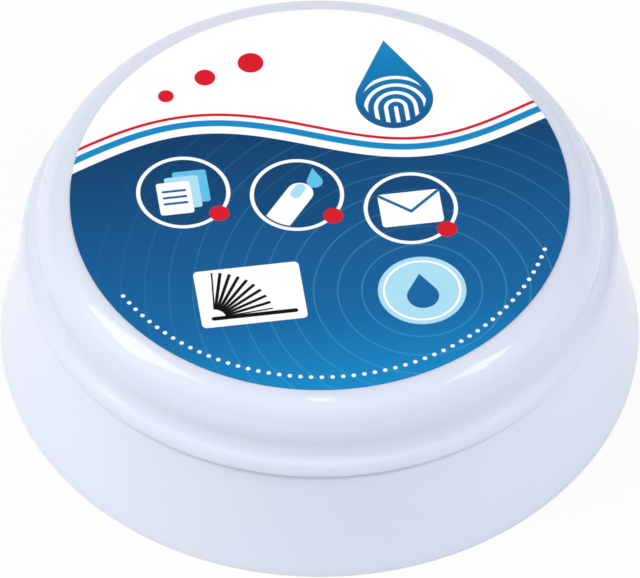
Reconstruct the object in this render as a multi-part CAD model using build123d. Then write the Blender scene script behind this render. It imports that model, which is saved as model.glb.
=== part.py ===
from build123d import *
import os
from math import cos, radians, sin, tan

# Finger moistener: a low round tub of gel with a screw lid.
# Millimetres, +Z up. The origin is the middle of the foot, on the surface that the tub stands on.

# Flared outer shell
foot_radius = 32.05             # outer edge of the skirt at the desk, before its edge is rounded
shell_height = 12.55            # desk to the top of the shoulder that the lid closes over
skirt_lean = 11.0               # degrees that the skirt leans inwards from upright
skirt_wall = 1.2                # measured level
ring_lip = 0.8                  # shoulder ring below its seat for the cup's collar
foot_round = 0.2
shoulder_round = 0.4
skirt_corner_round = 0.6        # inside, where the skirt meets the shoulder ring

# Screw lid
lid_gap = 0.55                  # shadow gap between the shoulder and the lid's lower edge
lid_height = 7.55               # lower edge to flat top
flange_overhang = 0.34          # lid's rounded lower flange, beyond the top of the skirt
flange_reach = 1.55             # the same flange, beyond the lid's upright wall
flange_edge = 0.1               # upright face at the flange's bottom
flange_round = 1.6              # rounding of its upper side
flange_turn = 54.0              # degrees that this rounding turns, up to the cove that leads into the wall
upright_wall = 0.3              # straight part of the lid's wall, between the cove and the shoulder
lid_wall = 1.6
lid_top_thickness = 1.35
mouth_chamfer = 0.2             # lead-in for the neck

# Liner under the lid's top, and the bead that keeps it there
liner_thickness = 1.0
liner_recess_step = 0.7         # the liner's seat is this much narrower than the lid's bore
liner_side_clearance = 0.1
liner_face_clearance = 0.05     # above the liner, and between the liner and the cup's rim
bead_clearance = 0.25           # bead to neck
bead_drop = 0.35                # liner's underside to the bead's crest
bead_flank = 0.7                # bead's crest down to the plain bore

# Quick-turn thread
thread_starts = 3
thread_lead = 9.0               # rise in one whole turn
thread_height = 0.8
thread_root_width = 1.0
thread_crest_width = 0.5
thread_crest_clearance = 0.4    # ridge on the neck to the lid's bore
lug_crest_clearance = 0.3       # lug in the lid to the neck
lug_turn = 45.0                 # degrees that each lug in the lid covers
lug_edge_gap = 0.35             # lid's lower edge to the lowest end of a lug
flank_clearance = 0.12          # lug to the ridge above it, with the lid closed
ridge_head_gap = 0.3            # highest ridge to the lid's bead
ramp_turn = 8.0                 # degrees over which a thread end slopes off
root_embed = 0.3                # how deep a ridge, lug or snap is rooted in its wall

# Gel cup
cup_wall = 1.4
cup_floor = 1.4
cup_lift = 1.0                  # desk to the underside of the cup
cup_inner_round = 2.0
cup_outer_round = 1.0
rim_round = 0.35
collar_overhang = 2.0           # collar's reach beyond the neck
collar_thickness = 0.75
collar_clearance = 0.1          # collar to its seat in the shoulder ring
ring_clearance = 0.15           # cup to the hole in the shoulder ring
snap_count = 6
snap_reach = 0.5                # how far a snap lug stands out from the cup
snap_length = 1.0
snap_turn = 14.0                # degrees that each snap lug covers
snap_clearance = 0.05           # snap lug to the underside of the shoulder ring

# Gel filling
headspace = 4.67                # cup's rim to the gel's surface, which leaves 20 ml of gel
gel_clearance = 0.1

# Label
label_inset = 3.45              # lid's upright wall to the label's edge
label_thickness = 0.1

# How closely an edge's radius and height have to agree for it to be picked out
match_tolerance = 1e-4

# Heights and lid roundings worked out from the sizes above
collar_bottom = shell_height - collar_thickness
ring_bottom = collar_bottom - ring_lip
lid_edge = shell_height + lid_gap
flange_middle = lid_edge + flange_edge
cove_radius = flange_reach / (1 - cos(radians(flange_turn))) - flange_round
cove_middle = flange_middle + (flange_round + cove_radius) * sin(radians(flange_turn))
lid_top = lid_edge + lid_height
lid_shoulder_round = lid_top - cove_middle - upright_wall
lid_underside = lid_top - lid_top_thickness
liner_top = lid_underside - liner_face_clearance
liner_bottom = liner_top - liner_thickness
rim_top = liner_bottom - liner_face_clearance
bead_crest_height = liner_bottom - bead_drop
bead_bottom = bead_crest_height - bead_flank
cup_inside = cup_lift + cup_floor
gel_bottom = cup_inside + gel_clearance
gel_top = rim_top - headspace

# Radii worked out from the sizes above
shoulder_radius = foot_radius - shell_height * tan(radians(skirt_lean))
flange_radius = shoulder_radius + flange_overhang
lid_radius = flange_radius - flange_reach
lid_bore = lid_radius - lid_wall
neck_radius = lid_bore - thread_crest_clearance - thread_height
ridge_crest_radius = neck_radius + thread_height
lug_crest_radius = neck_radius + lug_crest_clearance
liner_recess_radius = lid_bore - liner_recess_step
liner_radius = liner_recess_radius - liner_side_clearance
bead_crest_radius = neck_radius + bead_clearance
cup_bore = neck_radius - cup_wall
collar_radius = neck_radius + collar_overhang
ring_hole_radius = neck_radius + ring_clearance
collar_seat_radius = collar_radius + collar_clearance
gel_radius = cup_bore - gel_clearance
label_radius = lid_radius - label_inset

# The lugs start at the lid's lower edge. Each lies under the middle of a ridge, which ends below the bead.
lug_middle = lid_edge + lug_edge_gap + (thread_root_width + thread_lead * lug_turn / 360) / 2
ridge_narrowing = (thread_root_width - thread_crest_width) * lug_crest_clearance / thread_height
ridge_width_at_lug = thread_root_width - ridge_narrowing
ridge_middle = lug_middle + (ridge_width_at_lug + thread_crest_width) / 2 + flank_clearance
ridge_rise = 2 * (bead_bottom - ridge_head_gap - thread_root_width / 2 - ridge_middle)
ridge_turn = 360 * ridge_rise / thread_lead


def skirt_radius(height):
    """Outside of the leaning skirt at a height above the desk."""
    return foot_radius - height * tan(radians(skirt_lean))


def turned(outline):
    """Solid of revolution of a closed outline, given as (radius, height) points."""
    return revolve(Plane.XZ * make_face(Polyline(*outline, close=True)), Axis.Z)


def disc(radius, thickness, bottom):
    """Round disc about the upright axis."""
    return Pos(0, 0, bottom) * Cylinder(radius, thickness, align=(Align.CENTER, Align.CENTER, Align.MIN))


def edges_at(shape, radius, height):
    """Full circles of a shape at one radius and height."""
    circles = shape.edges().filter_by(GeomType.CIRCLE)
    return circles.filter_by(
        lambda edge: abs(edge.radius - radius) < match_tolerance
        and abs(edge.arc_center.Z - height) < match_tolerance
    )


def polar(radius, angle):
    """Point in plan at a radius and an angle in degrees."""
    return (radius * cos(radians(angle)), radius * sin(radians(angle)))


def thread_length(root_radius, crest_radius, turn, middle_height):
    """One helical length of thread about angle 0, sloped off at both ends.

    It stands outwards where the crest lies outside the root, and inwards where it lies inside.
    """
    outwards = 1 if crest_radius > root_radius else -1
    foot = root_radius - outwards * root_embed
    section = make_face(
        Polyline(
            (foot, -thread_root_width / 2),
            (root_radius, -thread_root_width / 2),
            (crest_radius, -thread_crest_width / 2),
            (crest_radius, thread_crest_width / 2),
            (root_radius, thread_root_width / 2),
            (foot, thread_root_width / 2),
            close=True,
        )
    )
    rise = thread_lead * turn / 360
    length = sweep(Plane.XZ * section, Helix(thread_lead, rise, root_radius), is_frenet=True)
    far = 2.0 ** outwards
    plan = Polyline(
        polar(root_radius, 0),
        polar(crest_radius, ramp_turn),
        polar(crest_radius * far, ramp_turn),
        polar(crest_radius * far, turn - ramp_turn),
        polar(crest_radius, turn - ramp_turn),
        polar(root_radius, turn),
        polar(root_radius / far, turn),
        polar(root_radius / far, 0),
        close=True,
    )
    reach = rise + 2 * thread_root_width
    keep = extrude(make_face(plan), amount=reach, both=True)
    return Pos(0, 0, middle_height - rise / 2) * Rot(0, 0, -turn / 2) * (length & keep)


def around(shape, count):
    """Equal copies of a shape about the upright axis."""
    return [Rot(0, 0, 360 * index / count) * shape for index in range(count)]


def outer_shell():
    """Flared skirt with the shoulder ring that carries the cup, open underneath."""
    shell = turned(
        [
            (foot_radius, 0),
            (shoulder_radius, shell_height),
            (collar_seat_radius, shell_height),
            (collar_seat_radius, collar_bottom),
            (ring_hole_radius, collar_bottom),
            (ring_hole_radius, ring_bottom),
            (skirt_radius(ring_bottom) - skirt_wall, ring_bottom),
            (foot_radius - skirt_wall, 0),
        ]
    )
    shell = fillet(edges_at(shell, skirt_radius(ring_bottom) - skirt_wall, ring_bottom), skirt_corner_round)
    shell = fillet(edges_at(shell, shoulder_radius, shell_height), shoulder_round)
    foot_edges = edges_at(shell, foot_radius, 0) + edges_at(shell, foot_radius - skirt_wall, 0)
    return fillet(foot_edges, foot_round)


def gel_cup():
    """Cup with a threaded neck, a collar that sits in the shoulder ring, and snap lugs below it."""
    cup = turned(
        [
            (0, cup_lift),
            (neck_radius, cup_lift),
            (neck_radius, collar_bottom),
            (collar_radius, collar_bottom),
            (collar_radius, shell_height),
            (neck_radius, shell_height),
            (neck_radius, rim_top),
            (cup_bore, rim_top),
            (cup_bore, cup_inside),
            (0, cup_inside),
        ]
    )
    cup = fillet(edges_at(cup, cup_bore, cup_inside), cup_inner_round)
    cup = fillet(edges_at(cup, neck_radius, cup_lift), cup_outer_round)
    cup = fillet(edges_at(cup, neck_radius, rim_top) + edges_at(cup, cup_bore, rim_top), rim_round)
    ridge = thread_length(neck_radius, ridge_crest_radius, ridge_turn, ridge_middle)
    snap_top = ring_bottom - snap_clearance
    wedge = make_face(
        Polyline(
            (neck_radius - root_embed, snap_top),
            (neck_radius + snap_reach, snap_top),
            (neck_radius, snap_top - snap_length),
            (neck_radius - root_embed, snap_top - snap_length),
            close=True,
        )
    )
    snap = revolve(Plane.XZ * wedge, Axis.Z, snap_turn)
    return cup + around(ridge, thread_starts) + around(snap, snap_count)


def moistening_gel():
    """Gel filling, rounded at the bottom like the cup."""
    gel = disc(gel_radius, gel_top - gel_bottom, gel_bottom)
    return fillet(edges_at(gel, gel_radius, gel_bottom), cup_inner_round)


def sealing_liner():
    """Foam disc that lies between the lid's top and the cup's rim."""
    return disc(liner_radius, liner_thickness, liner_bottom)


def lid_cap():
    """Screw lid: rounded shoulder, upright wall, rounded lower flange, bead and thread lugs inside."""
    shoulder_centre = (lid_radius - lid_shoulder_round, lid_top - lid_shoulder_round)
    cove_centre = (lid_radius + cove_radius, cove_middle)
    edge_centre = (flange_radius - flange_round, flange_middle)
    outline = [
        Line((0, lid_top), (shoulder_centre[0], lid_top)),
        CenterArc(shoulder_centre, lid_shoulder_round, 0, 90),
        Line((lid_radius, shoulder_centre[1]), (lid_radius, cove_centre[1])),
        CenterArc(cove_centre, cove_radius, 180, flange_turn),
        CenterArc(edge_centre, flange_round, 0, flange_turn),
        Polyline(
            (flange_radius, edge_centre[1]),
            (flange_radius, lid_edge),
            (lid_bore + mouth_chamfer, lid_edge),
            (lid_bore, lid_edge + mouth_chamfer),
            (lid_bore, bead_bottom),
            (bead_crest_radius, bead_crest_height),
            (liner_recess_radius, liner_bottom - liner_face_clearance),
            (liner_recess_radius, lid_underside),
            (0, lid_underside),
            (0, lid_top),
        ),
    ]
    cap = revolve(Plane.XZ * make_face(Curve() + outline), Axis.Z)
    lug = thread_length(lid_bore, lug_crest_radius, lug_turn, lug_middle)
    return cap + around(lug, thread_starts)


def lid_label():
    """Round film label on the lid's flat top."""
    return disc(label_radius, label_thickness, lid_top)


pieces = {
    "outer_shell": outer_shell(),
    "gel_cup": gel_cup(),
    "moistening_gel": moistening_gel(),
    "sealing_liner": sealing_liner(),
    "lid_cap": lid_cap(),
    "lid_label": lid_label(),
}

os.makedirs("parts", exist_ok=True)
for name, shape in pieces.items():
    export_step(shape, f"parts/{name}.step")
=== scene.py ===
from math import cos, pi, radians, sin, sqrt, tan

import bmesh
import bpy
from mathutils import Matrix, Vector


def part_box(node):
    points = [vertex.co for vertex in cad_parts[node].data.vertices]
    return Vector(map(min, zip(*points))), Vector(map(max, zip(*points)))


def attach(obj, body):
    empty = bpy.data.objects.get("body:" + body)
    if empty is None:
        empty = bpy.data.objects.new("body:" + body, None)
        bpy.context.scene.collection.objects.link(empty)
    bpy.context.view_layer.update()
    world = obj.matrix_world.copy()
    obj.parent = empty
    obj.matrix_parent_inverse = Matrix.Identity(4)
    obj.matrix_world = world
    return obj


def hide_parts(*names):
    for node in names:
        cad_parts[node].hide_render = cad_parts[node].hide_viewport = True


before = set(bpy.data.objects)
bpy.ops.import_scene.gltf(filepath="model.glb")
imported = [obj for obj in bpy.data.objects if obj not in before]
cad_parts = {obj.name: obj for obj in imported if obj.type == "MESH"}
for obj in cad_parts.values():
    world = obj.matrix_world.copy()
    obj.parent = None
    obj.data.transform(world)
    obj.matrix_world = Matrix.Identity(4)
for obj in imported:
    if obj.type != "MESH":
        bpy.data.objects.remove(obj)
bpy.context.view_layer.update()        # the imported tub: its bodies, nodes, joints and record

# Finger moistener: a low round tub of gel with a screw lid, closed, on a white table.
# Metres, +Z up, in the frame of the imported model.

mm = 0.001

# Sizes that the frame gives
shell_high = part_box("outer_shell")[1]
cup_low, cup_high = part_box("gel_cup")
gel_low, gel_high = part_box("moistening_gel")
liner_low, liner_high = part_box("sealing_liner")
lid_low, lid_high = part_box("lid_cap")
label_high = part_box("lid_label")[1]
foot_radius = shell_high.x
shell_height = shell_high.z
collar_radius = cup_high.x
cup_lift = cup_low.z
rim_top = cup_high.z
gel_radius = gel_high.x
gel_bottom = gel_low.z
gel_top = gel_high.z
liner_radius = liner_high.x
liner_bottom = liner_low.z
liner_top = liner_high.z
flange_radius = lid_high.x
lid_edge = lid_low.z
lid_top = lid_high.z
label_radius = label_high.x
label_top = label_high.z

# Outer shell
skirt_lean = 11.0        # degrees from upright
skirt_wall = 1.2 * mm
foot_round = 0.2 * mm
shoulder_round = 0.4 * mm
ring_lip = 0.8 * mm
collar_thickness = 0.75 * mm
collar_clearance = 0.1 * mm
ring_clearance = 0.15 * mm
skirt_corner_round = 0.6 * mm

# Lid
flange_reach = 1.55 * mm
flange_edge = 0.1 * mm
flange_round = 1.6 * mm
flange_turn = 54.0       # degrees that its rounding turns, up to the cove
upright_wall = 0.3 * mm  # straight part of the wall, between the cove and the shoulder
edge_break = 0.07 * mm
lid_wall = 1.6 * mm
lid_top_thickness = 1.35 * mm
mouth_chamfer = 0.2 * mm
liner_recess_step = 0.7 * mm
liner_face_clearance = 0.05 * mm
bead_clearance = 0.25 * mm
bead_drop = 0.35 * mm
bead_flank = 0.7 * mm

# Cup
collar_overhang = 2.0 * mm
collar_round = 0.12 * mm
cup_wall = 1.4 * mm
cup_floor = 1.4 * mm
cup_inner_round = 2.0 * mm
cup_outer_round = 1.0 * mm
rim_round = 0.35 * mm
gate_radius = 1.1 * mm   # stub that the moulding gate leaves under the cup
gate_end_radius = 0.88 * mm
gate_height = 0.35 * mm
floor_recess = 0.15 * mm  # shallow recess under the cup, with the marks of the mould's ejector pins
recess_radius = 21.0 * mm
pad_circle = 13.0 * mm
pad_radius = 1.6 * mm
pad_count = 4
snap_count = 6
snap_reach = 0.5 * mm
snap_length = 1.0 * mm
snap_turn = 14.0         # degrees
snap_ramp = 0.04         # share of a snap's length over which each end slopes off
snap_clearance = 0.05 * mm

# Thread
thread_starts = 3
thread_lead = 9.0 * mm
thread_height = 0.8 * mm
thread_root_width = 1.0 * mm
thread_crest_width = 0.5 * mm
lug_crest_clearance = 0.3 * mm
lug_turn = 45.0          # degrees
lug_edge_gap = 0.35 * mm
flank_clearance = 0.12 * mm
ridge_head_gap = 0.3 * mm
ramp_turn = 8.0          # degrees
root_embed = 0.3 * mm

# Gel, liner and label
gel_dip = 0.3 * mm       # level of the gel below the line where it clings to the cup
meniscus_width = 1.3 * mm
gel_swell = 0.5 * mm     # height of the lumps left by filling
gel_lumps = 165          # lumps in a metre
gel_rings = 60
rim_print_depth = 0.12 * mm
rim_print_slope = 0.15 * mm
liner_round = 0.18 * mm
label_lift = 0.006 * mm  # adhesive under the label

# Radii and heights that follow
collar_bottom = shell_height - collar_thickness
ring_bottom = collar_bottom - ring_lip
neck_radius = collar_radius - collar_overhang
cup_bore = neck_radius - cup_wall
cup_inside = cup_lift + cup_floor
lid_radius = flange_radius - flange_reach
lid_bore = lid_radius - lid_wall
lid_underside = lid_top - lid_top_thickness
flange_middle = lid_edge + flange_edge
cove_radius = flange_reach / (1 - cos(radians(flange_turn))) - flange_round
cove_middle = flange_middle + (flange_round + cove_radius) * sin(radians(flange_turn))
lid_shoulder_round = lid_top - cove_middle - upright_wall
liner_recess = lid_bore - liner_recess_step
bead_crest_height = liner_bottom - bead_drop
bead_bottom = bead_crest_height - bead_flank
bead_crest_radius = neck_radius + bead_clearance
flat_top_radius = lid_radius - lid_shoulder_round
lug_middle = lid_edge + lug_edge_gap + (thread_root_width + thread_lead * lug_turn / 360) / 2
ridge_narrowing = (thread_root_width - thread_crest_width) * lug_crest_clearance / thread_height
ridge_width_at_lug = thread_root_width - ridge_narrowing
ridge_middle = lug_middle + (ridge_width_at_lug + thread_crest_width) / 2 + flank_clearance
ridge_rise = 2 * (bead_bottom - ridge_head_gap - thread_root_width / 2 - ridge_middle)
ridge_turn = 360 * ridge_rise / thread_lead


class Value:
    """One output socket of a node. Arithmetic on it, also with plain numbers, adds Math nodes."""

    def __init__(self, nodes, socket):
        self.nodes = nodes
        self.socket = socket

    def math(self, operation, *terms):
        return self.nodes.add("ShaderNodeMath", {"operation": operation}, dict(enumerate(terms)))

    def __add__(self, other):
        return self.math("ADD", self, other)

    def __radd__(self, other):
        return self.math("ADD", other, self)

    def __sub__(self, other):
        return self.math("SUBTRACT", self, other)

    def __rsub__(self, other):
        return self.math("SUBTRACT", other, self)

    def __mul__(self, other):
        return self.math("MULTIPLY", self, other)

    def __rmul__(self, other):
        return self.math("MULTIPLY", other, self)

    def __truediv__(self, other):
        return self.math("DIVIDE", self, other)

    def __rtruediv__(self, other):
        return self.math("DIVIDE", other, self)

    def __pow__(self, other):
        return self.math("POWER", self, other)

    def __rpow__(self, other):
        return self.math("POWER", other, self)

    def __mod__(self, other):
        return self.math("FLOORED_MODULO", self, other)

    def __rmod__(self, other):
        return self.math("FLOORED_MODULO", other, self)

    def __gt__(self, other):
        return self.math("GREATER_THAN", self, other)

    def __lt__(self, other):
        return self.math("LESS_THAN", self, other)

    def __abs__(self):
        return self.math("ABSOLUTE", self)


def smaller(first, second):
    return first.math("MINIMUM", first, second)


def larger(first, second):
    return first.math("MAXIMUM", first, second)


def clamped(value):
    return value.nodes.add("ShaderNodeClamp", {}, {"Value": value})


def hypotenuse(across, up):
    square = across * across + up * up
    return square.math("SQRT", square)


class Nodes:
    """A node tree in the making."""

    def __init__(self, tree):
        self.tree = tree

    def add(self, kind, settings, sockets, output=0):
        """Adds a node: its settings first, then a number or a link for each socket. Returns one output."""
        node = self.tree.nodes.new(kind)
        for name, setting in settings.items():
            if name == "stops":
                set_stops(node.color_ramp, setting)
            else:
                setattr(node, name, setting)
        for name, value in sockets.items():
            if isinstance(value, Value):
                self.tree.links.new(value.socket, node.inputs[name])
            else:
                node.inputs[name].default_value = value
        return Value(self, node.outputs[output]) if node.outputs else None


def set_stops(ramp, stops):
    """Gives a colour ramp its stops, as (place, colour) pairs."""
    while len(ramp.elements) < len(stops):
        ramp.elements.new(1)
    for element, (place, colour) in zip(ramp.elements, stops):
        element.position = place
        element.color = (*colour, 1)


def srgb(red, green, blue):
    """Linear colour for display values from 0 to 255."""
    return tuple(
        level / 12.92 if level <= 0.04045 else ((level + 0.055) / 1.055) ** 2.4
        for level in (red / 255, green / 255, blue / 255)
    )


class Finish(Nodes):
    """A material in the making: what feeds one Principled shader."""

    def __init__(self, name, constants):
        self.material = bpy.data.materials.new(name)
        self.material.use_nodes = True
        super().__init__(self.material.node_tree)
        self.shader = self.tree.nodes["Principled BSDF"]
        for socket, number in constants.items():
            self.shader.inputs[socket].default_value = number
        self.place = self.add("ShaderNodeTexCoord", {}, {}, "Object")

    def feed(self, socket, value):
        self.tree.links.new(value.socket, self.shader.inputs[socket])

    def noise(self, scale, detail=2.0, roughness=0.5):
        """Cloudy noise about 0.5, with the given number of lumps in a metre."""
        sockets = {"Vector": self.place, "Scale": scale, "Detail": detail, "Roughness": roughness}
        return self.add("ShaderNodeTexNoise", {}, sockets)

    def mix(self, share, first, second):
        """The first colour with a share of the second laid over it."""
        first, second = (
            (*colour, 1) if isinstance(colour, tuple) else colour for colour in (first, second)
        )
        return self.add("ShaderNodeMix", {"data_type": "RGBA"}, {0: share, 6: first, 7: second}, 2)

    def bump(self, height, strength, distance):
        sockets = {"Height": height, "Strength": strength, "Distance": distance}
        self.feed("Normal", self.add("ShaderNodeBump", {}, sockets))


def moulded_plastic(name, colour, shade, matness, shine, glow):
    """Glossy moulded plastic: faint clouds in the colour, uneven gloss and the ripple of a moulded skin.

    Matness is the roughness, shine the strength of the gloss, and glow the share of the light that goes
    through the skin and spreads under it.
    """
    finish = Finish(
        name,
        {
            "IOR": 1.49,
            "Specular IOR Level": shine,
            "Subsurface Weight": glow,
            "Subsurface Radius": (1.0, 1.0, 1.1),
            "Subsurface Scale": 1.6 * mm,
        },
    )
    clouds = finish.noise(scale=70, detail=3.0)
    haze = finish.noise(scale=900, detail=1.0)
    finish.feed("Base Color", finish.mix(clamped(clouds * 1.6 - 0.3), colour, shade))
    finish.feed("Roughness", matness + 0.05 * (clouds - 0.5) + 0.03 * (haze - 0.5))
    ripple = finish.noise(scale=420, detail=1.0)
    finish.bump(ripple + 0.1 * haze, strength=0.25, distance=0.005 * mm)
    return finish.material


# Gel's colours, and its bubbles as shares of their spacing
gel_blue = (0.50, 0.76, 0.90)
gel_pale = (0.74, 0.90, 0.96)
bubble_white = (0.90, 0.96, 0.98)
bubble_size = 0.16
bubble_edge = 0.05


def wet_gel():
    """Pale blue gel, cloudy in its depth, with a wet skin, slow swirls and small air bubbles."""
    finish = Finish(
        "wet_gel",
        {
            "IOR": 1.43,
            "Transmission Weight": 0.15,
            "Subsurface Weight": 0.6,
            "Subsurface Radius": (0.6, 1.0, 1.2),
            "Subsurface Scale": 2.0 * mm,
        },
    )
    swirl = finish.noise(scale=140, detail=4.0, roughness=0.55)
    sockets = {"Vector": finish.place, "Scale": 330}
    spacing = finish.add("ShaderNodeTexVoronoi", {}, sockets)
    bubbles = clamped((bubble_size - spacing) / bubble_edge)
    tint = finish.mix(clamped(swirl * 1.8 - 0.4), gel_blue, gel_pale)
    finish.feed("Base Color", finish.mix(0.6 * bubbles, tint, bubble_white))
    finish.feed("Roughness", 0.05 + 0.06 * swirl)
    skin = finish.noise(scale=320, detail=3.0)
    finish.bump(skin + 0.8 * bubbles, strength=0.5, distance=0.06 * mm)
    return finish.material


def cell_foam():
    """White closed-cell foam sheet: small cells, matt, slightly warm."""
    finish = Finish("cell_foam", {"Specular IOR Level": 0.3})
    sockets = {"Vector": finish.place, "Scale": 2200}
    cells = finish.add("ShaderNodeTexVoronoi", {"feature": "SMOOTH_F1"}, sockets)
    patches = finish.noise(scale=120, detail=3.0)
    finish.feed("Base Color", finish.mix(patches, (0.80, 0.80, 0.77), (0.88, 0.88, 0.86)))
    finish.feed("Roughness", 0.62 + 0.2 * cells)
    finish.bump(cells + 0.5 * patches, strength=0.6, distance=0.05 * mm)
    return finish.material


# Shapes of the print, as distances in millimetres: below 0 inside, above 0 outside
def disc(spot, x, y, radius):
    return hypotenuse(spot[0] - x, spot[1] - y) - radius


def ring(spot, x, y, radius, width):
    return abs(disc(spot, x, y, radius)) - width / 2


def panel(spot, x, y, width, height, corner):
    across = abs(spot[0] - x) - (width / 2 - corner)
    up = abs(spot[1] - y) - (height / 2 - corner)
    outside = hypotenuse(larger(across, 0), larger(up, 0))
    return outside + smaller(larger(across, up), 0) - corner


def stroke(spot, start, end, width):
    run = (end[0] - start[0], end[1] - start[1])
    square = run[0] ** 2 + run[1] ** 2
    across = spot[0] - start[0]
    up = spot[1] - start[1]
    along = clamped((across * run[0] + up * run[1]) / square)
    return hypotenuse(across - along * run[0], up - along * run[1]) - width / 2


def drop(spot, x, y, radius, height):
    """Water drop: a round belly about x, y and a straight-sided point above it."""
    reach = height - radius
    lean = radius / reach
    upright = sqrt(1 - lean ** 2)
    across = abs(spot[0] - x)
    up = spot[1] - y
    sides = larger(across * upright + (up - reach) * lean, radius * lean - up)
    return smaller(hypotenuse(across, up) - radius, sides)


def inked(distance, soft_edge=0.06):
    """Share of ink at a distance from a shape, with an edge that is slightly soft."""
    return clamped(0.5 - distance / soft_edge)


# Print on the label, in millimetres from its middle
label_turn = radians(8)
white = srgb(250, 251, 253)
navy = srgb(12, 62, 106)
deep_blue = srgb(18, 86, 140)
blue = srgb(20, 102, 160)
bright_blue = srgb(18, 136, 196)
cyan = srgb(96, 190, 230)
pale_cyan = srgb(168, 220, 240)
red = srgb(212, 26, 42)
black = srgb(12, 12, 16)
wave_level = 7.0         # middle of the wave where white meets blue
wave_swing = 3.0
wave_length = 46.0
wave_lines = ((1.35, 0.8, bright_blue), (2.45, 0.36, red))  # above the wave, width, ink
field_low = -25.0        # where the blue is brightest and where it is darkest
field_high = 9.0
field_inks = [(0.0, bright_blue), (0.28, blue), (0.62, deep_blue), (1.0, navy)]
rising_dots = ((-13.4, 15.4, 0.8), (-9.2, 17.3, 1.05), (-4.4, 18.6, 1.3))

# Big drop with arched lines in its belly
big_drop = (9.2, 11.9)   # middle of its belly
big_drop_belly = 3.9
big_drop_height = 11.7
arch_foot = -1.2         # height where the arches spring, from the belly's middle
arch_top = 3.0
arch_pitch = 1.0
arch_gap = 0.6           # blue between two white lines
arch_margin = 0.75       # blue outside the lines

# Ringed icons; the places in them are from an icon's middle
icon_radius = 4.5
icon_ring = 0.4
icon_shade = 0.45        # how far an icon's ground is darkened
badge_offset = 3.2
badge_radius = 1.0
sheets_icon = (-13.4, 2.6)
sheet_size = (3.4, 4.2, 0.3)  # width, height and corner
sheet_step = 0.9         # from one sheet to the next, across
sheet_climb = 0.7        # the same upwards, as a share of the step across
row_heights = (0.3, -0.5, -1.3)
row_start = -2.0
row_end = 0.2
row_width = 0.3
finger_icon = (-2.2, 0.7)
finger_root = (-2.2, -2.9)
finger_tip = (0.3, 0.2)
finger_width = 2.7
nail_root = (-0.1, 0.15)
nail_tip = (0.45, 0.85)
nail_width = 1.1
falling_drop = (2.0, 1.5)
falling_drop_belly = 0.8
falling_drop_height = 2.6
letter_icon = (8.8, -2.6)
letter_size = (6.2, 4.3, 0.4)
flap_corners = ((-2.9, 1.9), (2.9, 1.9))
flap_point = (0.0, -0.4)
flap_width = 0.34

# Fan of pages on a white panel
fan_panel = (-8.6, -11.6)
fan_panel_size = (10.6, 7.4, 0.5)
fan_spine = (-12.6, -14.2)
page_spacing = 9.0       # degrees
page_width = 0.34
page_middle = 3.6        # from the spine to the middle of a page
page_length = 4.8
fan_bearing = 45.0       # degrees up from level, middle of the fan
fan_spread = 81.0        # degrees
fan_edge = 0.1           # turns degrees at the fan's sides into about millimetres
cover_length = 8.2
cover_width = 0.5

# Pool with a drop and the ripples round it
pool = (8.4, -13.4)
pool_radius = 4.4
pool_ring_inset = 0.6
pool_ring = 0.25
pool_drop_sink = 0.7
pool_drop_belly = 1.6
pool_drop_height = 4.5
ripple_pitch = 2.4
ripple_width = 0.16
ripple_blur = 0.1
ripple_ink = 0.22        # strength near the pool
ripple_reach = 30.0      # distance over which it fades by 1
ripple_full = 1.2        # strength it fades from, cut off at 1

# Row of small dots along the lower edge
dot_circle = 23.4
dot_spacing = 2.6        # degrees
dot_radius = 0.22
dot_row_top = -9.5


def beside(middle, offset):
    """Point at an offset from a middle."""
    return (middle[0] + offset[0], middle[1] + offset[1])


def round_icons(finish, sheet, spot):
    """Three ringed icons: sheets of paper, a fingertip with a drop and a letter."""
    for x, y in (sheets_icon, finger_icon, letter_icon):
        sheet = finish.mix(inked(disc(spot, x, y, icon_radius)) * icon_shade, sheet, navy)
        sheet = finish.mix(inked(ring(spot, x, y, icon_radius, icon_ring)), sheet, white)
        badge = disc(spot, x + badge_offset, y - badge_offset, badge_radius)
        sheet = finish.mix(inked(badge), sheet, red)

    for step, tone in ((sheet_step, cyan), (0.0, pale_cyan), (-sheet_step, white)):
        paper = panel(spot, *beside(sheets_icon, (step, sheet_climb * step)), *sheet_size)
        sheet = finish.mix(inked(paper), sheet, tone)
    for height in row_heights:
        ends = (beside(sheets_icon, (across, height)) for across in (row_start, row_end))
        sheet = finish.mix(inked(stroke(spot, *ends, row_width)), sheet, blue)

    finger = stroke(spot, beside(finger_icon, finger_root), beside(finger_icon, finger_tip), finger_width)
    finger = larger(finger, disc(spot, *finger_icon, icon_radius - icon_ring))
    sheet = finish.mix(inked(finger), sheet, white)
    nail = stroke(spot, beside(finger_icon, nail_root), beside(finger_icon, nail_tip), nail_width)
    sheet = finish.mix(inked(nail), sheet, pale_cyan)
    falling = drop(spot, *beside(finger_icon, falling_drop), falling_drop_belly, falling_drop_height)
    sheet = finish.mix(inked(falling), sheet, cyan)

    sheet = finish.mix(inked(panel(spot, *letter_icon, *letter_size)), sheet, white)
    for corner in flap_corners:
        flap = stroke(spot, beside(letter_icon, corner), beside(letter_icon, flap_point), flap_width)
        sheet = finish.mix(inked(flap), sheet, blue)
    return sheet


def fan_of_pages(finish, sheet, spot):
    """White panel with the edges of pages that fan out from a spine, over a cover."""
    across, up = spot
    sheet = finish.mix(inked(panel(spot, *fan_panel, *fan_panel_size)), sheet, white)
    from_spine = disc(spot, *fan_spine, 0)
    bearing = across.math("ARCTAN2", up - fan_spine[1], across - fan_spine[0]) * (180 / pi)
    off_page = abs(bearing % page_spacing - page_spacing / 2) * (pi / 180)
    page = off_page * from_spine - page_width / 2
    beyond_ends = abs(from_spine - page_middle) - page_length / 2
    beyond_sides = (abs(bearing - fan_bearing) - fan_spread / 2) * fan_edge
    sheet = finish.mix(inked(larger(page, larger(beyond_ends, beyond_sides))), sheet, black)
    cover = stroke(spot, fan_spine, beside(fan_spine, (cover_length, 0)), cover_width)
    return finish.mix(inked(cover), sheet, black)


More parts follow.
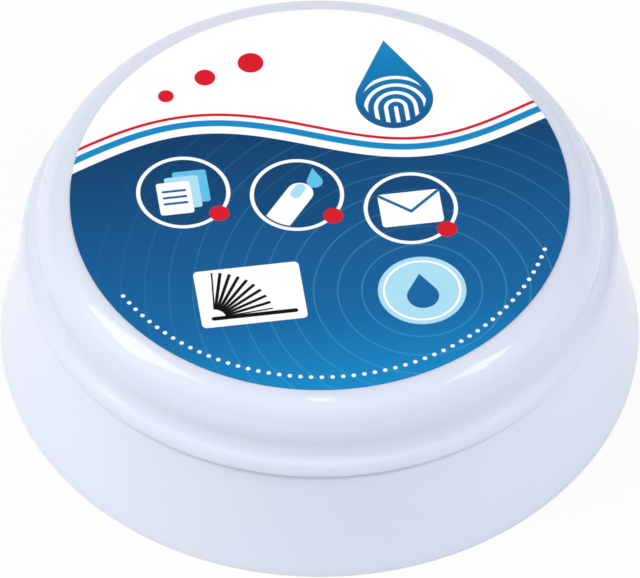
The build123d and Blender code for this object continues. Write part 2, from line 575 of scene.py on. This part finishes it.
def wave_and_ripples(finish, spot):
    """White ground over a blue field with ripples, and two lines along the wave between them."""
    across, up = spot
    phase = across * (2 * pi / wave_length)
    slope = wave_swing * 2 * pi / wave_length * phase.math("COSINE", phase)
    above_wave = (up - wave_level + wave_swing * phase.math("SINE", phase)) / hypotenuse(slope, 1)
    depth = clamped((up - field_low) / (field_high - field_low))
    field = finish.add("ShaderNodeValToRGB", {"stops": field_inks}, {0: depth})
    from_pool = disc(spot, *pool, 0)
    ripple = abs(from_pool % ripple_pitch - ripple_pitch / 2) - ripple_width / 2
    strength = clamped(ripple_full - from_pool / ripple_reach) * ripple_ink
    field = finish.mix(inked(ripple, ripple_blur) * strength, field, cyan)
    sheet = finish.mix(inked(above_wave), white, field)
    for height, width, ink in wave_lines:
        sheet = finish.mix(inked(abs(above_wave - height) - width / 2), sheet, ink)
    return sheet


def arched_drop(finish, sheet, spot):
    """Big blue drop with white arched lines in its belly."""
    across, up = spot[0] - big_drop[0], spot[1] - big_drop[1]
    body = drop(spot, *big_drop, big_drop_belly, big_drop_height)
    tint = finish.mix(clamped((up + big_drop_belly) / big_drop_height), deep_blue, bright_blue)
    sheet = finish.mix(inked(body), sheet, tint)
    arch = hypotenuse(across, larger(up - arch_foot, 0))
    lines = arch_gap / 2 - abs(arch % arch_pitch - arch_pitch / 2)
    lines = larger(lines, larger(body + arch_margin, up - arch_top))
    return finish.mix(inked(lines), sheet, white)


def pool_with_drop(finish, sheet, spot):
    """Pale round pool with a ring and a drop in it."""
    sheet = finish.mix(inked(disc(spot, *pool, pool_radius)), sheet, pale_cyan)
    sheet = finish.mix(inked(ring(spot, *pool, pool_radius - pool_ring_inset, pool_ring)), sheet, white)
    middle = beside(pool, (0, -pool_drop_sink))
    return finish.mix(inked(drop(spot, *middle, pool_drop_belly, pool_drop_height)), sheet, blue)


def row_of_dots(finish, sheet, spot):
    """White dots along the label's lower edge."""
    across, up = spot
    bearing = across.math("ARCTAN2", up, across) * (180 / pi)
    beat = abs(bearing % dot_spacing - dot_spacing / 2) * (pi / 180 * dot_circle)
    dots = hypotenuse(beat, hypotenuse(across, up) - dot_circle) - dot_radius
    return finish.mix(inked(larger(dots, up - dot_row_top)), sheet, white)


def printed_film():
    """Round label: white over a blue wave, a drop with arches, dots, icons, a fan of pages and ripples."""
    finish = Finish("printed_film", {"Specular IOR Level": 0.12})
    mapping = {"Vector": finish.place, "Rotation": (0, 0, -label_turn), "Scale": (1 / mm, 1 / mm, 1 / mm)}
    turned = finish.add("ShaderNodeMapping", {}, mapping)
    spot = [finish.add("ShaderNodeSeparateXYZ", {}, {0: turned}, axis) for axis in "XY"]

    sheet = wave_and_ripples(finish, spot)
    sheet = arched_drop(finish, sheet, spot)
    for x, y, size in rising_dots:
        sheet = finish.mix(inked(disc(spot, x, y, size)), sheet, red)
    sheet = round_icons(finish, sheet, spot)
    sheet = fan_of_pages(finish, sheet, spot)
    sheet = pool_with_drop(finish, sheet, spot)
    sheet = row_of_dots(finish, sheet, spot)

    grain = finish.noise(scale=6000, detail=2.0)
    finish.feed("Base Color", finish.mix(0.06 * grain, sheet, black))
    finish.feed("Roughness", 0.36 + 0.1 * finish.noise(scale=300, detail=3.0))
    finish.bump(grain, strength=0.08, distance=0.01 * mm)
    return finish.material


# Turned pieces: an outline in (radius, height) carried once round the upright axis
segments = 256
arc_steps = 14
drape_steps = 8
thread_steps = 97
snap_steps = 41
pad_sides = 48
hold = 0.06 * mm         # a straight run gets a further point this close to each end, so that it shades flat
long_run = 8 * hold      # shorter runs get none
weld = 0.0005 * mm
crease = radians(35)


def arc(centre, radius, start, end):
    """Points of an arc, from one angle in degrees to another."""
    angles = [radians(start + (end - start) * step / arc_steps) for step in range(arc_steps + 1)]
    return [(centre[0] + radius * cos(angle), centre[1] + radius * sin(angle)) for angle in angles]


def held(points):
    """The points of a closed outline, with a point added near both ends of each long straight run."""
    filled = []
    for start, end in zip(points, points[1:] + points[:1]):
        start, end = Vector(start), Vector(end)
        run = (end - start).length
        if run < weld:
            continue
        filled.append(start)
        if run > long_run and start.x > weld:
            filled.append(start.lerp(end, hold / run))
        if run > long_run and end.x > weld:
            filled.append(start.lerp(end, 1 - hold / run))
    return filled


def geometry_tree(name, sockets):
    """An empty tree of geometry nodes with named inputs, and the values of those inputs."""
    tree = bpy.data.node_groups.new(name, "GeometryNodeTree")
    for label, kind in sockets.items():
        tree.interface.new_socket(label, in_out="INPUT", socket_type="NodeSocket" + kind)
    tree.interface.new_socket("Piece", in_out="OUTPUT", socket_type="NodeSocketGeometry")
    nodes = Nodes(tree)
    return nodes, {label: nodes.add("NodeGroupInput", {}, {}, label) for label in sockets}


def close_tree(nodes, skin, finish):
    """Ends a tree in real geometry with its finish."""
    skin = nodes.add("GeometryNodeRealizeInstances", {}, {"Geometry": skin})
    skin = nodes.add("GeometryNodeSetMaterial", {}, {"Geometry": skin, "Material": finish})
    nodes.add("NodeGroupOutput", {}, {"Piece": skin})
    return nodes.tree


def turning_tree():
    """Carries an outline once round the upright axis."""
    sockets = {
        "Outline": "Geometry",
        "Segments": "Int",
        "Guide Radius": "Float",
        "Weld": "Float",
        "Finish": "Material",
    }
    nodes, given = geometry_tree("turned_round", sockets)
    circle = {"Resolution": given["Segments"], "Radius": given["Guide Radius"]}
    guide = nodes.add("GeometryNodeCurvePrimitiveCircle", {}, circle)
    guide = nodes.add("GeometryNodeSetCurveNormal", {"mode": "Z_UP"}, {"Curve": guide})
    outline = nodes.add("GeometryNodeMeshToCurve", {}, {"Mesh": given["Outline"]})
    skin = nodes.add("GeometryNodeCurveToMesh", {}, {"Curve": guide, "Profile Curve": outline})
    skin = nodes.add("GeometryNodeMergeByDistance", {}, {"Geometry": skin, "Distance": given["Weld"]})
    return close_tree(nodes, skin, given["Finish"])


def ridge_tree():
    """Carries a section along equal lengths of a helix that rise and sink out of a wall."""
    sockets = {
        "Section": "Geometry",
        "Guide Radius": "Float",
        "Middle Height": "Float",
        "Turn": "Float",
        "Lead": "Float",
        "Ramp": "Float",
        "Count": "Int",
        "Steps": "Int",
        "Finish": "Material",
    }
    nodes, given = geometry_tree("ridges_round", sockets)
    line = nodes.add("GeometryNodeCurvePrimitiveLine", {}, {})
    line = nodes.add("GeometryNodeResampleCurve", {}, {"Curve": line, "Count": given["Steps"]})
    share = nodes.add("GeometryNodeSplineParameter", {}, {}, "Factor")
    angle = (share - 0.5) * given["Turn"]
    spot = {
        "X": given["Guide Radius"] * angle.math("COSINE", angle),
        "Y": given["Guide Radius"] * angle.math("SINE", angle),
        "Z": given["Middle Height"] + given["Lead"] * angle / (2 * pi),
    }
    spot = nodes.add("ShaderNodeCombineXYZ", {}, spot)
    helix = nodes.add("GeometryNodeSetPosition", {}, {"Geometry": line, "Position": spot})
    helix = nodes.add("GeometryNodeSetCurveNormal", {"mode": "Z_UP"}, {"Curve": helix})
    section = nodes.add("GeometryNodeMeshToCurve", {}, {"Mesh": given["Section"]})
    from_end = 0.5 - abs(share - 0.5)
    size = {"Value": from_end, "From Max": given["Ramp"], "To Min": 0.05}
    size = nodes.add("ShaderNodeMapRange", {"interpolation_type": "SMOOTHSTEP"}, size)
    parts = {"Curve": helix, "Profile Curve": section, "Scale": size, "Fill Caps": True}
    length = nodes.add("GeometryNodeCurveToMesh", {}, parts)
    points = nodes.add("GeometryNodePoints", {}, {"Count": given["Count"]})
    index = nodes.add("GeometryNodeInputIndex", {}, {})
    about = nodes.add("ShaderNodeCombineXYZ", {}, {"Z": index * (2 * pi) / given["Count"]})
    around = {"Points": points, "Instance": length, "Rotation": about}
    skin = nodes.add("GeometryNodeInstanceOnPoints", {}, around)
    return close_tree(nodes, skin, given["Finish"])


def swelling_tree():
    """Raises soft lumps on the upper side of a skin, fading out toward its rim."""
    sockets = {
        "Skin": "Geometry",
        "Lowest": "Float",
        "Reach": "Float",
        "Swell": "Float",
        "Lumps": "Float",
        "Finish": "Material",
    }
    nodes, given = geometry_tree("lumps_on_top", sockets)
    spot = nodes.add("GeometryNodeInputPosition", {}, {})
    x, y, z = (nodes.add("ShaderNodeSeparateXYZ", {}, {0: spot}, axis) for axis in "XYZ")
    lumps = nodes.add("ShaderNodeTexNoise", {}, {"Vector": spot, "Scale": given["Lumps"], "Detail": 1.0})
    inward = {"Value": given["Reach"] - hypotenuse(x, y), "From Max": given["Reach"]}
    inward = nodes.add("ShaderNodeMapRange", {"interpolation_type": "SMOOTHERSTEP"}, inward)
    rise = nodes.add("ShaderNodeCombineXYZ", {}, {"Z": given["Swell"] * (2 * lumps - 1) * inward})
    moved = {"Geometry": given["Skin"], "Selection": z > given["Lowest"], "Offset": rise}
    skin = nodes.add("GeometryNodeSetPosition", {}, moved)
    return close_tree(nodes, skin, given["Finish"])


def pad_tree():
    """Round pads in a circle, in place of what it is given."""
    sockets = {
        "Start": "Geometry",
        "Circle Radius": "Float",
        "Pad Radius": "Float",
        "Depth": "Float",
        "Height": "Float",
        "Count": "Int",
        "Finish": "Material",
    }
    nodes, given = geometry_tree("pads_round", sockets)
    disc_sizes = {"Vertices": pad_sides, "Radius": given["Pad Radius"], "Depth": given["Depth"]}
    pad = nodes.add("GeometryNodeMeshCylinder", {}, disc_sizes)
    index = nodes.add("GeometryNodeInputIndex", {}, {})
    angle = (index + 0.5) * (2 * pi) / given["Count"]
    spot = {
        "X": given["Circle Radius"] * angle.math("COSINE", angle),
        "Y": given["Circle Radius"] * angle.math("SINE", angle),
        "Z": given["Height"],
    }
    spot = nodes.add("ShaderNodeCombineXYZ", {}, spot)
    points = nodes.add("GeometryNodePoints", {}, {"Count": given["Count"], "Position": spot})
    skin = nodes.add("GeometryNodeInstanceOnPoints", {}, {"Points": points, "Instance": pad})
    return close_tree(nodes, skin, given["Finish"])


turned_round = turning_tree()
ridges_round = ridge_tree()
lumps_on_top = swelling_tree()
pads_round = pad_tree()


def placed(mesh):
    """Object in the scene that holds a mesh and has its name."""
    holder = bpy.data.objects.new(mesh.name, mesh)
    bpy.context.scene.collection.objects.link(holder)
    return holder


def edge_loop(name, points):
    """Object that holds a closed line through (outward, upward) points, as a curve's section takes them."""
    mesh = bpy.data.meshes.new(name)
    count = len(points)
    edges = [(step, (step + 1) % count) for step in range(count)]
    mesh.from_pydata([(outward, -upward, 0) for outward, upward in points], edges, [])
    return placed(mesh)


def plain_mesh(holder):
    """What a holder's modifiers make, as a plain mesh. The holder goes."""
    name = holder.name
    before = holder.data
    depsgraph = bpy.context.evaluated_depsgraph_get()
    mesh = bpy.data.meshes.new_from_object(holder.evaluated_get(depsgraph))
    bpy.data.objects.remove(holder)
    bpy.data.meshes.remove(before)
    mesh.name = name
    return mesh


def grown(tree, holder, sizes):
    """Mesh that a tree of geometry nodes makes of what a holder holds."""
    maker = holder.modifiers.new("maker", "NODES")
    maker.node_group = tree
    for socket in tree.interface.items_tree:
        if socket.in_out == "INPUT" and socket.name in sizes:
            maker[socket.identifier] = sizes[socket.name]
    return plain_mesh(holder)


def facing_out(mesh):
    """Turns all faces of a closed mesh outwards, drops loose edges and sets the creases."""
    shape = bmesh.new()
    shape.from_mesh(mesh)
    bmesh.ops.remove_doubles(shape, verts=shape.verts, dist=weld)
    bmesh.ops.delete(shape, geom=[edge for edge in shape.edges if edge.is_wire], context="EDGES")
    bmesh.ops.recalc_face_normals(shape, faces=shape.faces)
    shape.to_mesh(mesh)
    shape.free()
    mesh.shade_smooth()
    mesh.set_sharp_from_angle(angle=crease)
    return mesh


def turned_mesh(name, outline, finish):
    """Closed mesh turned from an outline in (radius, height). A guide circle of any size carries it."""
    guide = flat_top_radius
    points = [(point[0] - guide, point[1]) for point in held(outline)]
    sizes = {"Segments": segments, "Guide Radius": guide, "Weld": weld, "Finish": finish}
    return facing_out(grown(turned_round, edge_loop(name, points), sizes))


def piece(mesh, body, node):
    """Finished piece that stands for a node of the frame."""
    made = placed(mesh)
    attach(made, body)
    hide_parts(node)


def moulded_with(mesh, *additions):
    """The mesh with others fused to it."""
    holder = placed(mesh)
    tools = [placed(addition) for addition in additions]
    for tool in tools:
        fuse = holder.modifiers.new("fuse", "BOOLEAN")
        fuse.operation = "UNION"
        fuse.solver = "EXACT"
        fuse.object = tool
    fused = plain_mesh(holder)
    for tool in tools:
        bpy.data.objects.remove(tool)
    return facing_out(fused)


def thread_lengths(name, root, crest, turn, middle, finish):
    """Equal lengths of thread from a wall at the root radius to the crest radius."""
    out = 1 if crest > root else -1
    reach = abs(crest - root) + root_embed
    half_root = thread_root_width / 2
    half_crest = thread_crest_width / 2
    section = [
        (0, -half_root),
        (out * root_embed, -half_root),
        (out * reach, -half_crest),
        (out * reach, half_crest),
        (out * root_embed, half_root),
        (0, half_root),
    ]
    sizes = {
        "Guide Radius": root - out * root_embed,
        "Middle Height": middle,
        "Turn": radians(turn),
        "Lead": thread_lead,
        "Ramp": ramp_turn / turn,
        "Count": thread_starts,
        "Steps": thread_steps,
        "Finish": finish,
    }
    return facing_out(grown(ridges_round, edge_loop(name, section), sizes))


def outer_shell(finish):
    """Flared skirt with the shoulder ring, open underneath."""
    slope = tan(radians(skirt_lean))
    sharp = tan(radians(90 - skirt_lean) / 2)
    blunt = tan(radians(90 + skirt_lean) / 2)
    foot = foot_radius + foot_round * (1 / sharp - 1)
    shoulder = foot - shell_height * slope
    seat = collar_radius + collar_clearance
    hole = neck_radius + ring_clearance
    inner = foot - skirt_wall
    inner_top = inner - ring_bottom * slope
    outline = [
        *arc((foot - foot_round / sharp, foot_round), foot_round, -90, skirt_lean),
        *arc(
            (shoulder - shoulder_round / blunt, shell_height - shoulder_round),
            shoulder_round,
            skirt_lean,
            90,
        ),
        (seat, shell_height),
        (seat, collar_bottom),
        (hole, collar_bottom),
        (hole, ring_bottom),
        *arc(
            (inner_top - skirt_corner_round / blunt, ring_bottom - skirt_corner_round),
            skirt_corner_round,
            90,
            skirt_lean,
        ),
        *arc((inner + foot_round / blunt, foot_round), foot_round, 180 + skirt_lean, 270),
    ]
    return turned_mesh("skirt", outline, finish)


def lid_cap(finish):
    """Screw lid: rounded shoulder, upright wall, rounded lower flange, bead and lugs inside."""
    flange_arc = (flange_radius - flange_round, flange_middle)
    break_arc = (flange_radius - edge_break, lid_edge + edge_break)
    outline = [
        (0, lid_top),
        *arc((flat_top_radius, lid_top - lid_shoulder_round), lid_shoulder_round, 90, 0),
        *arc((lid_radius + cove_radius, cove_middle), cove_radius, 180, 180 + flange_turn),
        *arc(flange_arc, flange_round, flange_turn, 0),
        *arc(break_arc, edge_break, 0, -90),
        (lid_bore + mouth_chamfer, lid_edge),
        (lid_bore, lid_edge + mouth_chamfer),
        (lid_bore, bead_bottom),
        (bead_crest_radius, bead_crest_height),
        (liner_recess, liner_bottom - liner_face_clearance),
        (liner_recess, lid_underside),
        (0, lid_underside),
    ]
    cap = turned_mesh("screw_lid", outline, finish)
    crest = neck_radius + lug_crest_clearance
    lugs = thread_lengths("lugs", lid_bore, crest, lug_turn, lug_middle, finish)
    return moulded_with(cap, lugs)


def gel_cup(finish):
    """Cup with a threaded neck, a collar that sits in the shoulder ring, and snap lugs below it."""
    outline = [
        (0, cup_lift - gate_height),
        (gate_end_radius, cup_lift - gate_height),
        (gate_radius, cup_lift + floor_recess),
        (recess_radius - floor_recess, cup_lift + floor_recess),
        (recess_radius, cup_lift),
        *arc((neck_radius - cup_outer_round, cup_lift + cup_outer_round), cup_outer_round, -90, 0),
        (neck_radius, collar_bottom),
        (collar_radius, collar_bottom),
        *arc((collar_radius - collar_round, shell_height - collar_round), collar_round, 0, 90),
        (neck_radius, shell_height),
        *arc((neck_radius - rim_round, rim_top - rim_round), rim_round, 0, 90),
        *arc((cup_bore + rim_round, rim_top - rim_round), rim_round, 90, 180),
        *arc((cup_bore - cup_inner_round, cup_inside + cup_inner_round), cup_inner_round, 0, -90),
        (0, cup_inside),
    ]
    cup = turned_mesh("threaded_cup", outline, finish)
    ridges = thread_lengths(
        "ridges", neck_radius, neck_radius + thread_height, ridge_turn, ridge_middle, finish
    )
    snap_top = ring_bottom - snap_clearance
    section = [
        (0, 0),
        (0, -snap_length),
        (root_embed, -snap_length),
        (root_embed + snap_reach, 0),
    ]
    sizes = {
        "Guide Radius": neck_radius - root_embed,
        "Middle Height": snap_top,
        "Turn": radians(snap_turn),
        "Lead": 0.0,
        "Ramp": snap_ramp,
        "Count": snap_count,
        "Steps": snap_steps,
        "Finish": finish,
    }
    snaps = facing_out(grown(ridges_round, edge_loop("snaps", section), sizes))
    sizes = {
        "Circle Radius": pad_circle,
        "Pad Radius": pad_radius,
        "Depth": 2 * floor_recess,
        "Height": cup_lift + floor_recess,
        "Count": pad_count,
        "Finish": finish,
    }
    pads = facing_out(grown(pads_round, placed(bpy.data.meshes.new("pads")), sizes))
    return moulded_with(cup, ridges, snaps, pads)


def filling(finish):
    """Gel that clings to the cup's wall, with soft lumps left by filling."""
    level = gel_top - gel_dip
    flat = gel_radius - meniscus_width
    outline = [
        (0, gel_bottom),
        *arc((gel_radius - cup_inner_round, gel_bottom + cup_inner_round), cup_inner_round, -90, 0),
        (gel_radius, gel_top),
    ]
    for step in range(1, arc_steps + 1):
        share = step / arc_steps
        outline.append((gel_radius - meniscus_width * share, level + gel_dip * (1 - share) ** 2))
    outline += [(flat * (1 - step / gel_rings), level) for step in range(1, gel_rings + 1)]
    skin = turned_mesh("gel_filling", outline, finish)
    sizes = {"Lowest": level - weld, "Reach": flat, "Swell": gel_swell, "Lumps": gel_lumps, "Finish": finish}
    return facing_out(grown(lumps_on_top, placed(skin), sizes))


def liner_disc(finish):
    """Foam disc with the mark of the cup's rim pressed into its underside."""
    edge = liner_radius - liner_round
    marked = liner_bottom + rim_print_depth
    outline = [
        (0, liner_bottom),
        (cup_bore - rim_print_slope, liner_bottom),
        (cup_bore + rim_print_slope, marked),
        (neck_radius - rim_print_slope, marked),
        (neck_radius + rim_print_slope, liner_bottom),
        *arc((edge, liner_bottom + liner_round), liner_round, -90, 0),
        *arc((edge, liner_top - liner_round), liner_round, 0, 90),
        (0, liner_top),
    ]
    return turned_mesh("foam_liner", outline, finish)


def label_disc(finish):
    """Film label that follows the lid's top and bends down with it at the edge."""
    thickness = label_top - lid_top
    drape = []
    for step in range(drape_steps + 1):
        radius = flat_top_radius + (label_radius - flat_top_radius) * step / drape_steps
        sink = lid_shoulder_round - sqrt(lid_shoulder_round ** 2 - (radius - flat_top_radius) ** 2)
        drape.append((radius, sink))
    upper = [(radius, label_top - sink) for radius, sink in drape]
    lower = [(radius, lid_top + label_lift - sink) for radius, sink in drape]
    outline = [(0, label_top), *upper, *reversed(lower), (0, lid_top + label_lift)]
    return turned_mesh("round_label", outline, finish)


shell_white = moulded_plastic(
    "shell_white",
    colour=(0.73, 0.785, 0.93),
    shade=(0.715, 0.77, 0.92),
    matness=0.16,
    shine=0.2,
    glow=0.4,
)
# The lid is the shell's white plastic set a little darker: painted shade that stands in for less light on the
# lid's top from overhead.
lid_white = moulded_plastic(
    "lid_white",
    colour=(0.685, 0.74, 0.87),
    shade=(0.67, 0.725, 0.86),
    matness=0.08,
    shine=0.5,
    glow=0.4,
)
cup_white = moulded_plastic(
    "cup_white",
    colour=(0.76, 0.78, 0.83),
    shade=(0.73, 0.76, 0.82),
    matness=0.36,
    shine=0.4,
    glow=0.4,
)

piece(outer_shell(shell_white), "jar", "outer_shell")
piece(gel_cup(cup_white), "jar", "gel_cup")
piece(filling(wet_gel()), "jar", "moistening_gel")
piece(liner_disc(cell_foam()), "liner", "sealing_liner")
piece(lid_cap(lid_white), "lid", "lid_cap")
piece(label_disc(printed_film()), "lid", "lid_label")


# Studio: a white table, wide screens of light left, right, overhead and low behind, and three small lamps
table_size = 6.0
table_white = 0.82
seen_white_share = 0.90  # how much of the seen table is plain white; the rest takes the tub's shadow
screens = (              # degrees round from the viewer and up, brightness (paper is 1) and tint
    (-80, 27, 2.0, (1.04, 1.0, 0.95)),
    (78, 25, 1.9, (1.0, 0.98, 1.03)),
    (0, 64, 1.5, (1.0, 1.0, 1.0)),
    (180, 10, 0.8, (1.03, 1.0, 0.96)),
)
screen_edge = 6          # the higher, the narrower a screen
backdrop_height = 0.12   # sine of the height up to which the seen surroundings are white
backdrop_blur = 0.04
lamp_distance = 0.5
lamps = (                # name, direction from the tub, length away from the viewer, width, brightness
    ("left_lamp", (-0.64, -0.02, 0.768), 0.20, 0.26, 3.5),
    ("right_lamp", (0.617, -0.195, 0.763), 0.12, 0.14, 4.2),
    ("top_lamp", (0.0, -0.168, 0.986), 0.08, 0.03, 5.0),
)


def seen_straight(nodes):
    """1 on rays that look at the backdrop, straight or through a gloss or glass, and 0 on rays that light."""
    kinds = ("Is Camera Ray", "Is Glossy Ray", "Is Transmission Ray")
    camera, gloss, glass = (nodes.add("ShaderNodeLightPath", {}, {}, kind) for kind in kinds)
    return larger(camera, larger(gloss, glass))


def table_top():
    """White table. Part of what is seen of it is plain white, so that it blends with the surroundings."""
    mesh = bpy.data.meshes.new("table")
    half = table_size / 2
    corners = [(-half, -half, 0), (half, -half, 0), (half, half, 0), (-half, half, 0)]
    mesh.from_pydata(corners, [], [(0, 1, 2, 3)])
    material = bpy.data.materials.new("table_white")
    material.use_nodes = True
    nodes = Nodes(material.node_tree)
    material.node_tree.nodes.remove(material.node_tree.nodes["Principled BSDF"])
    matt = nodes.add("ShaderNodeBsdfDiffuse", {}, {"Color": (table_white, table_white, table_white, 1)})
    plain = nodes.add("ShaderNodeEmission", {}, {"Color": (1, 1, 1, 1), "Strength": 1.0})
    share = seen_white_share * seen_straight(nodes)
    mixed = nodes.add("ShaderNodeMixShader", {}, {0: share, 1: matt, 2: plain})
    output = material.node_tree.nodes["Material Output"]
    material.node_tree.links.new(mixed.socket, output.inputs["Surface"])
    mesh.materials.append(material)
    placed(mesh)


def surroundings():
    """Soft light from the screens, and white where a seen ray looks level past the table."""
    world = bpy.data.worlds.new("studio")
    bpy.context.scene.world = world
    world.use_nodes = True
    nodes = Nodes(world.node_tree)
    direction = nodes.add("ShaderNodeTexCoord", {}, {}, "Generated")
    glow = (0, 0, 0)
    for azimuth, rise, brightness, tint in screens:
        azimuth, rise = radians(azimuth), radians(rise)
        middle = (sin(azimuth) * cos(rise), -cos(azimuth) * cos(rise), sin(rise))
        both = {0: direction, 1: middle}
        facing = nodes.add("ShaderNodeVectorMath", {"operation": "DOT_PRODUCT"}, both, "Value")
        level = brightness * larger(facing, 0) ** screen_edge
        light = nodes.add("ShaderNodeVectorMath", {"operation": "SCALE"}, {0: tint, "Scale": level})
        glow = nodes.add("ShaderNodeVectorMath", {"operation": "ADD"}, {0: glow, 1: light})
    height = nodes.add("ShaderNodeSeparateXYZ", {}, {0: direction}, "Z")
    backdrop = seen_straight(nodes) * clamped((backdrop_height - height) / backdrop_blur)
    lit = nodes.add("ShaderNodeBackground", {}, {"Color": glow, "Strength": 1.0})
    plain = nodes.add("ShaderNodeBackground", {}, {"Color": (1, 1, 1, 1), "Strength": 1.0})
    mixed = nodes.add("ShaderNodeMixShader", {}, {0: backdrop, 1: lit, 2: plain})
    output = world.node_tree.nodes["World Output"]
    world.node_tree.links.new(mixed.socket, output.inputs["Surface"])


def lamp(name, toward, length, width, brightness):
    """Rectangular lamp that faces the tub. Brightness is that of its face, where 1 is paper white."""
    toward = Vector(toward).normalized()
    along = Vector((0, 1, 0))
    along = (along - along.dot(toward) * toward).normalized()
    across = toward.cross(along)
    light = bpy.data.lights.new(name, "AREA")
    light.shape = "RECTANGLE"
    light.size = length
    light.size_y = width
    light.energy = brightness * length * width * pi
    holder = bpy.data.objects.new(name, light)
    turn = Matrix((along, across, toward)).transposed().to_4x4()
    holder.matrix_world = Matrix.Translation(toward * lamp_distance) @ turn
    holder.visible_camera = False
    bpy.context.scene.collection.objects.link(holder)


table_top()
surroundings()
for settings in lamps:
    lamp(*settings)

# Camera: the photograph's viewing angle, and so far off that its lines run nearly parallel
view_elevation = radians(49.68)
lens_length = 1500.0
sensor_width = 36.0
seen_width = 64.12 * mm  # across the picture, at the middle of the tub
aim = Vector((0.02, 0.0, 6.7)) * mm
farthest_seen = 10.0

camera = bpy.data.cameras.new("camera")
camera.lens = lens_length
camera.sensor_width = sensor_width
camera.clip_end = farthest_seen
eye = bpy.data.objects.new("camera", camera)
back = Vector((0, -cos(view_elevation), sin(view_elevation)))
eye.location = aim + back * (seen_width * lens_length / sensor_width)
eye.rotation_euler = (pi / 2 - view_elevation, 0, 0)
bpy.context.scene.collection.objects.link(eye)
bpy.context.scene.camera = eye
bpy.context.scene.view_settings.view_transform = "Standard"
